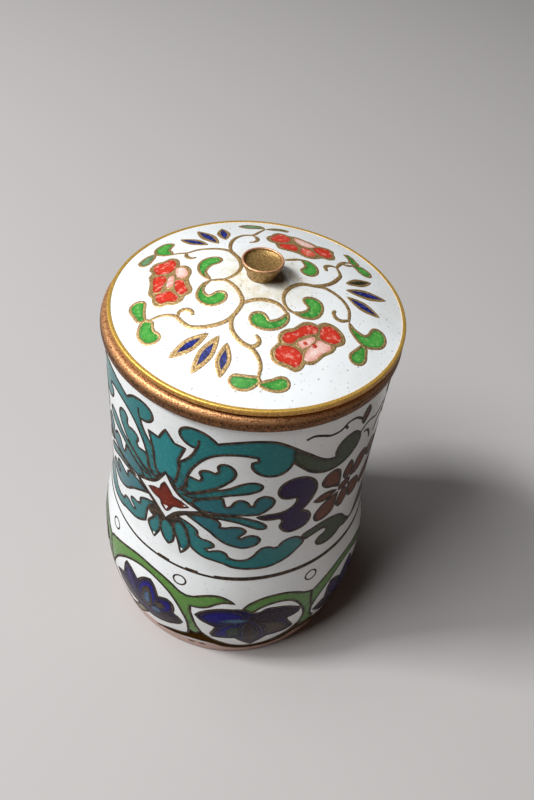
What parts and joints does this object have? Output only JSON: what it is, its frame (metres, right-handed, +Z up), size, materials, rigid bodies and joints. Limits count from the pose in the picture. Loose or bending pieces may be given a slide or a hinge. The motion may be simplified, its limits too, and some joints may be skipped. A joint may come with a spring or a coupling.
{
  "type": "lidded enamel box",
  "caption": "Small round cloisonne enamel box with a bellied, waisted body, a copper band at the mouth and a domed lift-off lid with a flared knob.",
  "frame": {"origin": "middle of the underside, on the surface that the box stands on", "axes": "+Z up along the axis of the vessel; the lid rests pushed 0.6 mm towards +X; -Y is the side with the star medallion"},
  "size_m": [0.0574, 0.0574, 0.0859],
  "materials": {
    "white_enamel": "glossy white vitreous enamel on copper, with coloured cells and wires flush in it",
    "copper_rim": "brushed reddish metal, browned with age",
    "brass_edge": "bright worn gilt brass",
    "knob_brass": "dull grainy brass with a rubbed coppery lip"
  },
  "bodies": {
    "root": {"vessel": "white_enamel", "rim_band": "copper_rim", "lid_dome": "white_enamel", "lid_edge_ring": "brass_edge", "knob": "knob_brass"}
  },
  "joints": []
}
